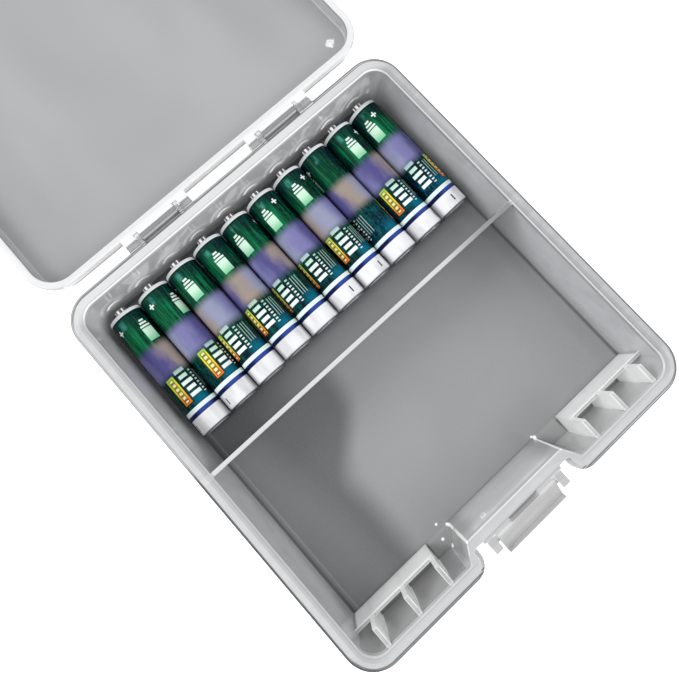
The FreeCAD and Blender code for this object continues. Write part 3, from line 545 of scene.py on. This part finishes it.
def sleeve_material(i):
    plus, minus, block, strip, bars = PRINT[i]
    mat, w, sh = new_material("printed_sleeve_%02d" % (i + 1))
    p, x, y, z = w.object_mm()
    xc = SHIFT + PITCH * (i - 4.5)
    dx, dz = w.sub(x, xc), w.sub(z, CELL_Z)
    arc = w.mul(w.math("ARCTAN2", dx, dz), RAD)            # millimetres round from the top
    u = w.sub(y, CELL_Y + ALONG[i])                        # millimetres from the flat end
    half_turn = math.pi * RAD

    def near(mid):
        """Signed arc distance to mid, repeated twice round the sleeve."""
        d = w.add(w.sub(arc, mid), half_turn * 4.5)
        return w.sub(w.math("MODULO", d, half_turn), half_turn / 2)

    # jacket: dark mottled green, teal towards the flat end, with painted shade near black at its flanks
    shade = w.noise(w.stretch(p, 0.6, 0.25, 0.6, i * 3.7, 0, 0), 0.55, 2.0, 0.5)
    mottle = w.noise(w.stretch(p, 1.0, 0.7, 1.0, i * 5.1, 0, 0), 1.15, 3.0, 0.65)
    teal, green = (0.0, 0.062, 0.072), (0.0, 0.064, 0.030)
    if i >= 7:
        teal = (0.0, 0.070, 0.130)
    col = w.mix(w.step(u, 9.0, 26.0), teal, green)
    col = w.mix(w.step(mottle, 0.42, 0.57, 0.0, 0.90), col, (0.0, 0.007, 0.008))
    col = w.mix(w.mul(w.step(shade, 0.48, 0.66), 0.7), col, (0.004, 0.010, 0.026))
    # lit side of the jacket, blue by the ring and leaf green beyond the band
    glow = w.span(arc, -1.6, 2.6, 2.0)
    col = w.mix(w.mul(glow, w.step(u, 27.0, 31.0, 0.0, 0.55)), col, (0.004, 0.20, 0.065))
    streak = w.noise(w.stretch(p, 1.0, 0.05, 1.0, i * 2.9, 0, 0), 1.5, 2.0, 0.6)
    col = w.mix(w.mul(w.step(streak, 0.52, 0.66), w.step(u, 26.0, 31.0, 0.15, 0.60)), col,
                (0.004, 0.26, 0.10))
    col = w.mix(w.mul(w.step(streak, 0.48, 0.38), 0.6), col, (0.0, 0.007, 0.010))
    col = w.mix(w.mul(w.step(u, 35.5, 40.0), 0.55), col, (0.002, 0.012, 0.026))
    gleam = w.mul(w.span(arc, -1.6, 0.8, 0.7), w.span(u, 39.6, 1.2, 0.8))
    col = w.mix(w.mul(gleam, w.step(shade, 0.42, 0.55, 0.0, 0.55)), col, (0.10, 0.52, 0.42))
    blue = w.mul(w.span(arc, 2.6, 2.2, 1.6), w.step(u, 13.5, 8.3))
    col = w.mix(w.mul(blue, 0.85), col, (0.0, 0.17, 0.27))
    # painted shade darkening the flanks of the cell
    flank = w.step(w.absolute(arc), 4.6, 6.6)
    col = w.mix(w.mul(flank, 0.8), col, (0.002, 0.008, 0.012))
    # fine print stands as plain lines
    lines = w.mul(w.span(w.math("PINGPONG", near(bars + 5.0), 0.45), 0.0, 0.14, 0.05),
                  w.mul(w.span(near(bars + 5.0), 0.0, 1.6, 0.1), w.span(u, 14.6, 3.2, 0.2)))
    col = w.mix(w.mul(lines, 0.75), col, (0.42, 0.62, 0.55))
    # yellow to orange strip in a thin dark frame, with a row of small plain squares
    s_in = w.mul(w.span(near(strip), 0.0, 1.30, 0.06), w.span(u, 14.5, 4.65, 0.06))
    s_out = w.mul(w.span(near(strip), 0.0, 1.55, 0.06), w.span(u, 14.5, 4.9, 0.06))
    sun = w.mix(w.step(u, 15.0, 10.4), w.mix(w.step(u, 16.0, 19.2), (0.86, 0.72, 0.04),
                                             (0.40, 0.66, 0.05)), (0.90, 0.20, 0.02))
    col = w.mix(s_out, col, (0.01, 0.02, 0.01))
    col = w.mix(s_in, col, sun)
    dots = w.mul(w.span(near(strip), 0.0, 0.52, 0.06),
                 w.mul(w.span(w.math("PINGPONG", w.sub(u, 10.6), 0.75), 0.0, 0.42, 0.06),
                       w.span(u, 14.4, 3.9, 0.06)))
    dot_dark = w.mul(w.span(near(strip), 0.0, 0.80, 0.06), w.span(u, 14.4, 4.15, 0.06))
    col = w.mix(w.mul(dot_dark, 0.75), col, (0.10, 0.08, 0.01))
    col = w.mix(dots, col, (0.95, 0.90, 0.50))
    # five white bars across, wider towards the flat end, with a row of small dashes beside them
    bar = None
    for n, (at, half) in enumerate(((11.3, 1.75), (13.3, 1.45), (15.3, 1.75), (17.3, 1.35),
                                    (19.3, 1.60))):
        b = w.mul(w.span(near(bars), 0.0, half, 0.06), w.span(u, at, 0.58, 0.06))
        bar = b if bar is None else w.high(bar, b)
    dash = w.mul(w.span(near(bars + 2.75), 0.0, 0.42, 0.06),
                 w.mul(w.span(w.math("PINGPONG", w.sub(u, 10.2), 0.55), 0.0, 0.26, 0.06),
                       w.span(u, 14.3, 4.2, 0.06)))
    bar = w.high(bar, w.mul(dash, 0.8))
    col = w.mix(bar, col, w.mix(w.step(u, 14.0, 18.5), (0.93, 1.0, 0.95), (0.50, 0.75, 0.62)))
    # soft pastel band
    one, two, three = (TINTS[(i * 3 + k) % 4] for k in range(3))
    lean = w.add(arc, w.add(w.mul(w.sub(shade, 0.5), 5.0), w.mul(w.sub(u, 24.5), 0.12)))
    tint = w.mix(w.step(lean, -5.5, -1.0), one, two)
    tint = w.mix(w.step(lean, 0.0, 4.5), tint, three)
    soft = w.mul(w.step(u, 18.0, 21.4), w.step(u, 31.1, 27.7))
    col = w.mix(w.mul(soft, 0.95), col, tint)
    # pale block with three plain bars beyond it
    blk = w.mul(w.span(near(block), 0.0, 1.65, 0.06), w.span(u, 33.1, 2.2, 0.06))
    col = w.mix(blk, col, w.mix(w.step(u, 30.5, 34.6), (0.20, 0.62, 0.34), (0.70, 0.95, 0.76)))
    for at, half in ((35.95, 1.65), (37.0, 1.2), (38.0, 0.75)):
        b = w.mul(w.span(near(block), 0.0, half, 0.05), w.span(u, at, 0.31, 0.05))
        col = w.mix(b, col, (0.86, 1.0, 0.92))
    # plus sign
    pv, pu = near(plus), w.sub(u, 38.4)
    sign = w.high(w.mul(w.span(pv, 0.0, 0.95, 0.05), w.span(pu, 0.0, 0.27, 0.05)),
                  w.mul(w.span(pv, 0.0, 0.27, 0.05), w.span(pu, 0.0, 0.95, 0.05)))
    col = w.mix(sign, col, (0.95, 1.0, 0.98))
    # rings: white between dark lines, navy with a blue glint, and the white shoulder
    col = w.mix(w.span(u, 8.35, 0.16, 0.05), col, (0.004, 0.02, 0.03))
    col = w.mix(w.span(u, 7.55, 0.66, 0.05), col, (0.86, 0.98, 0.95))
    navy = w.mix(w.span(arc, 1.5, 2.6, 1.6), (0.004, 0.010, 0.070), (0.03, 0.07, 0.36))
    col = w.mix(w.span(u, 6.32, 0.58, 0.05), col, navy)
    col = w.mix(w.span(u, 41.75, 0.20, 0.05), col, (0.002, 0.008, 0.012))
    col = w.mix(w.step(u, 41.9, 42.05), col, (0.90, 0.92, 0.94))
    # white skirt with the minus bar and painted shade at its flanks, dark creases at both its ends
    skirt = w.step(u, 5.72, 5.62)
    sheen = w.noise(w.stretch(p, 0.8, 0.25, 0.8, i * 1.3, 0, 0), 0.30, 2.0)
    white = w.mix(w.step(sheen, 0.40, 0.66), (0.95, 0.95, 0.96), (0.76, 0.75, 0.76))
    white = w.mix(w.mul(w.step(w.absolute(arc), 4.4, 6.2), 0.65), white, (0.30, 0.30, 0.32))
    col = w.mix(skirt, col, white)
    col = w.mix(w.mul(w.span(u, 5.70, 0.11, 0.05), 0.85), col, (0.01, 0.01, 0.03))
    col = w.mix(w.mul(w.step(u, 0.78, 0.62), 0.7), col, (0.10, 0.10, 0.11))
    mv = w.mul(w.span(near(minus), 0.0, 0.22, 0.05), w.span(u, 3.1, 1.05, 0.05))
    col = w.mix(mv, col, (0.02, 0.02, 0.03))
    w.put(sh.inputs["Base Color"], col)
    scuff = w.noise(w.stretch(p, 1.0, 0.12, 1.0), 3.5, 3.0, 0.6)
    w.put(sh.inputs["Roughness"], w.add(w.mixf(skirt, 0.22, 0.30), w.mul(scuff, 0.10)))
    w.put(sh.inputs["Normal"], w.bump(scuff, 0.05, 0.0001))
    sh.inputs["Specular IOR Level"].default_value = 0.08
    sh.inputs["Coat Weight"].default_value = 0.045
    sh.inputs["Coat Roughness"].default_value = 0.06
    return mat


def metal_material(name, colour, rough, grain, shine=1.0):
    mat, w, sh = new_material(name)
    p, x, y, z = w.object_mm()
    fine = w.noise(w.stretch(p, 1.0, grain, 1.0), 4.0, 3.0, 0.6)
    blot = w.noise(p, 0.8, 2.0, 0.5)
    w.put(sh.inputs["Base Color"], w.mix(w.mul(blot, 0.5), colour, tuple(c * 0.82 for c in colour)))
    sh.inputs["Metallic"].default_value = shine
    w.put(sh.inputs["Roughness"], w.add(w.mul(fine, 0.16), rough))
    w.put(sh.inputs["Normal"], w.bump(fine, 0.08, 0.0001))
    return mat


def can_material():
    """Plated steel can: painted reflections run along the nub as light and dark stripes, as on polished metal."""
    mat, w, sh = new_material("nickel_plate")
    p, x, y, z = w.object_mm()
    nx, ny, nz = w.normal()
    fine = w.noise(p, 4.0, 3.0, 0.6)
    turns = w.add(w.div(w.sub(x, SHIFT), PITCH), 200.0)
    side = w.mul(w.sub(w.math("FRACT", turns), 0.5), PITCH)
    dz = w.sub(z, CELL_Z)
    r = w.math("SQRT", w.add(w.mul(side, side), w.mul(dz, dz)))
    nub = w.mul(w.step(r, 2.5, 2.3), w.step(y, 50.0, 52.0))
    round_ = w.math("ARCTAN2", side, dz)
    reflection_bands = w.high(w.span(round_, -0.30, 0.20, 0.08), w.span(round_, 0.48, 0.10, 0.06))
    reflection_bands = w.high(reflection_bands, w.span(round_, -0.95, 0.10, 0.06))
    col = w.mix(w.mul(fine, 0.4), (0.97, 0.97, 0.98), (0.84, 0.84, 0.86))
    col = w.mix(nub, col, w.mix(reflection_bands, grey(128), grey(255)))
    w.put(sh.inputs["Base Color"], col)
    sh.inputs["Metallic"].default_value = 0.45
    w.put(sh.inputs["Roughness"], w.add(w.mul(fine, 0.16), 0.10))
    w.put(sh.inputs["Normal"], w.bump(fine, 0.08, 0.0001))
    # painted glow on the nub's bright stripes and faintly over the rest of the can
    w.put(sh.inputs["Emission Color"], w.mix(w.high(w.mul(nub, reflection_bands), w.mul(w.sub(1.0, nub), 0.18)), (0, 0, 0), (1, 1, 1)))
    sh.inputs["Emission Strength"].default_value = 0.35
    return mat


def dull_material(name, colour, rough, scale):
    mat, w, sh = new_material(name)
    p, x, y, z = w.object_mm()
    n = w.noise(p, scale, 4.0, 0.6)
    w.put(sh.inputs["Base Color"], w.mix(n, colour, tuple(c * 0.6 for c in colour)))
    w.put(sh.inputs["Roughness"], w.add(w.mul(n, 0.2), rough))
    w.put(sh.inputs["Normal"], w.bump(n, 0.2, 0.0001))
    return mat


def dress(node, mat):
    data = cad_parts[node].data
    data.materials.clear()
    data.materials.append(mat)


dress("base_tray", tray_material())
dress("lid", lid_material())
dress("latch", latch_material())
nickel = can_material()
plate = metal_material("end_plate_steel", (0.76, 0.76, 0.77), 0.20, 0.6)
seal = dull_material("nylon_seal", (0.10, 0.11, 0.16), 0.45, 1.5)
core = dull_material("cell_filling", (0.03, 0.03, 0.03), 0.8, 2.5)
for i in range(10):
    tag = "cell_%02d_" % (i + 1)
    dress(tag + "label", sleeve_material(i))
    dress(tag + "can", nickel)
    dress(tag + "end_plate", plate)
    dress(tag + "seal", seal)
    dress(tag + "core", core)

# ------------------------------------------------------------------ studio
mesh = bpy.data.meshes.new("floor")
mesh.from_pydata([(-3, -3, -0.0002), (3, -3, -0.0002), (3, 3, -0.0002), (-3, 3, -0.0002)], [],
                 [(0, 1, 2, 3)])
floor = bpy.data.objects.new("floor", mesh)
scene.collection.objects.link(floor)
fmat, fw, fsh = new_material("studio_floor")
fsh.inputs["Base Color"].default_value = (0.92, 0.92, 0.92, 1)
fsh.inputs["Roughness"].default_value = 0.9
fsh.inputs["Specular IOR Level"].default_value = 0.0
fsh.inputs["Emission Color"].default_value = (1, 1, 1, 1)
fsh.inputs["Emission Strength"].default_value = 0.65
mesh.materials.append(fmat)

world = bpy.data.worlds.new("studio")
scene.world = world
world.use_nodes = True
world.node_tree.nodes["Background"].inputs["Color"].default_value = (0.96, 0.98, 1.0, 1)
world.node_tree.nodes["Background"].inputs["Strength"].default_value = 0.75


def softbox(name, at, to, size_x, size_y, power):
    data = bpy.data.lights.new(name, "AREA")
    data.shape = "RECTANGLE"
    data.size, data.size_y = size_x, size_y
    data.energy = power
    o = bpy.data.objects.new(name, data)
    scene.collection.objects.link(o)
    o.location = at
    o.rotation_euler = (Vector(to) - Vector(at)).to_track_quat("-Z", "Y").to_euler()
    return o


softbox("key", (-1.15, 1.15, 1.15), (0, 0.03, 0), 0.9, 0.9, 17.0)
softbox("fill", (1.25, -0.95, 1.0), (0, 0.03, 0), 0.7, 0.9, 8.0)
softbox("spark", (0.270, 0.301, 0.527), (0.0527, 0.0764, 0.0149), 0.009, 0.009, 0.016)

scene.view_settings.view_transform = "Standard"
scene.view_settings.look = "None"
scene.view_settings.exposure = 0.0
scene.view_settings.gamma = 1.0
